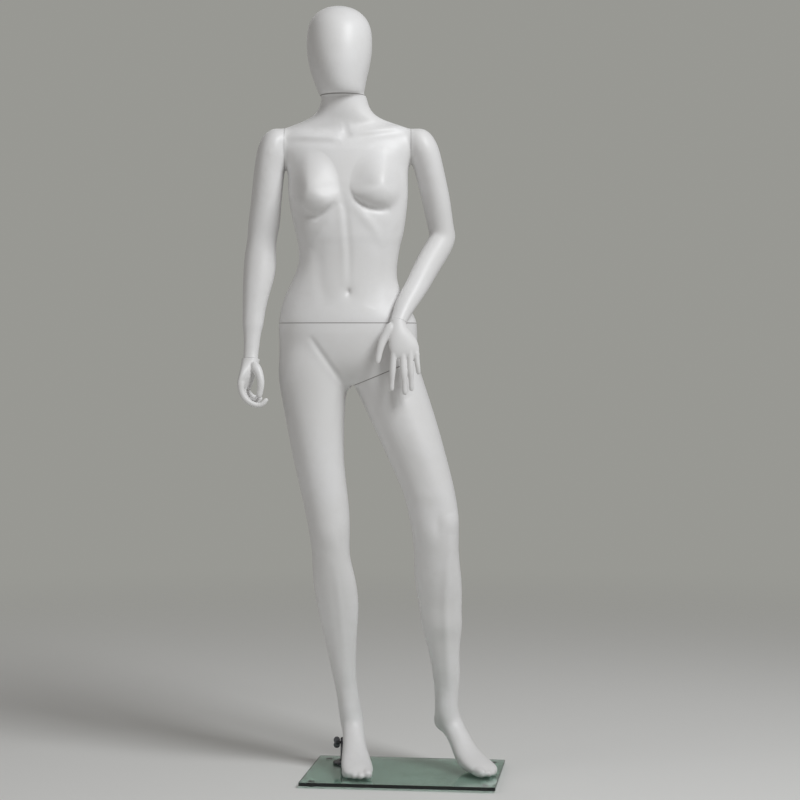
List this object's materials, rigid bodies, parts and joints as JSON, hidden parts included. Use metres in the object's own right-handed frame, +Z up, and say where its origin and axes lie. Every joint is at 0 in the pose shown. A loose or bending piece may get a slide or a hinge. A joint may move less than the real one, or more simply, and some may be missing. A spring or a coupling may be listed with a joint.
{
  "type": "full body display mannequin",
  "caption": "Full body standing display mannequin with an egg head and posed arms, made in twist-lock sections, on a glass base with a clamped heel rod.",
  "frame": {"origin": "on the floor under the middle of the glass base", "axes": "+Z up, -Y the side of the base that the figure faces, +X to the viewer's right"},
  "size_m": [0.5872, 0.31, 1.762],
  "materials": {
    "shell": "satin",
    "glass": "clear, with a green tint",
    "dark_metal": "polished, dark",
    "steel": "brushed",
    "fixings": "zinc plated",
    "gasket": "matte",
    "pads": "translucent"
  },
  "bodies": {
    "base": {"glass_base": "glass", "base_pads": "pads", "upper_gasket": "gasket", "lower_gasket": "gasket", "clamp_washer": "fixings", "flange_bolt": "fixings", "base_flange": "dark_metal", "foot_rod": "dark_metal"},
    "clamp_screw": {"wing_screw": "dark_metal"},
    "lower_body": {"lower_body": "shell", "ankle_tube": "steel", "waist_stud_plate": "steel", "hip_socket_plate": "steel", "lower_body_screws": "fixings"},
    "left_leg": {"left_leg": "shell", "hip_stud_plate": "steel", "left_leg_screws": "fixings"},
    "torso": {"upper_torso": "shell", "waist_socket_plate": "steel", "right_shoulder_socket_plate": "steel", "left_shoulder_socket_plate": "steel", "neck_stud_plate": "steel", "torso_screws": "fixings"},
    "head": {"head": "shell", "neck_socket_plate": "steel", "head_screws": "fixings"},
    "right_arm": {"right_arm": "shell", "right_shoulder_stud_plate": "steel", "right_wrist_socket_plate": "steel", "right_arm_screws": "fixings"},
    "left_arm": {"left_arm": "shell", "left_shoulder_stud_plate": "steel", "left_wrist_socket_plate": "steel", "left_arm_screws": "fixings"},
    "right_hand": {"right_hand": "shell", "right_wrist_stud_plate": "steel", "right_hand_screws": "fixings"},
    "left_hand": {"left_hand": "shell", "left_wrist_stud_plate": "steel", "left_hand_screws": "fixings"}
  },
  "joints": [
    {"name": "wing_screw_turn", "type": "hinge", "parent": "base", "child": "clamp_screw", "pos_m": [-0.14435, 0.06916, 0.0615], "axis": [-0.9928, -0.1201, 0], "range_deg": [0, 360]},
    {"name": "figure_lift", "type": "slide", "parent": "base", "child": "lower_body", "axis": [0, 0, 1], "range_m": [0, 0.1]},
    {"name": "waist_twist", "type": "hinge", "parent": "lower_body", "child": "torso", "pos_m": [-0.12928, -0.0096, 1.037], "axis": [0, 0, 1], "range_deg": [-45, 0]},
    {"name": "head_turn", "type": "hinge", "parent": "torso", "child": "head", "pos_m": [-0.1376, -0.01162, 1.557], "axis": [0, 0, 1], "range_deg": [-30, 30]},
    {"name": "right_shoulder_turn", "type": "hinge", "parent": "torso", "child": "right_arm", "pos_m": [-0.27274, -0.02696, 1.44], "axis": [-0.9928, -0.1201, 0], "range_deg": [-20, 90]},
    {"name": "left_shoulder_turn", "type": "hinge", "parent": "torso", "child": "left_arm", "pos_m": [0.01417, 0.00776, 1.44], "axis": [-0.9928, -0.1201, 0], "range_deg": [0, 75]},
    {"name": "right_wrist_turn", "type": "hinge", "parent": "right_arm", "child": "right_hand", "pos_m": [-0.34197, -0.07916, 0.955], "axis": [-0.0133, -0.2242, -0.9744], "range_deg": [-45, 45]},
    {"name": "left_wrist_turn", "type": "hinge", "parent": "left_arm", "child": "left_hand", "pos_m": [-0.00181, -0.09742, 1.04], "axis": [-0.1981, -0.4479, -0.8718], "range_deg": [-10, 30]},
    {"name": "left_leg_twist", "type": "hinge", "parent": "lower_body", "child": "left_leg", "pos_m": [-0.04464, 0.00266, 0.92486], "axis": [0.3831, 0.0464, -0.9225], "range_deg": [-10, 0]}
  ]
}
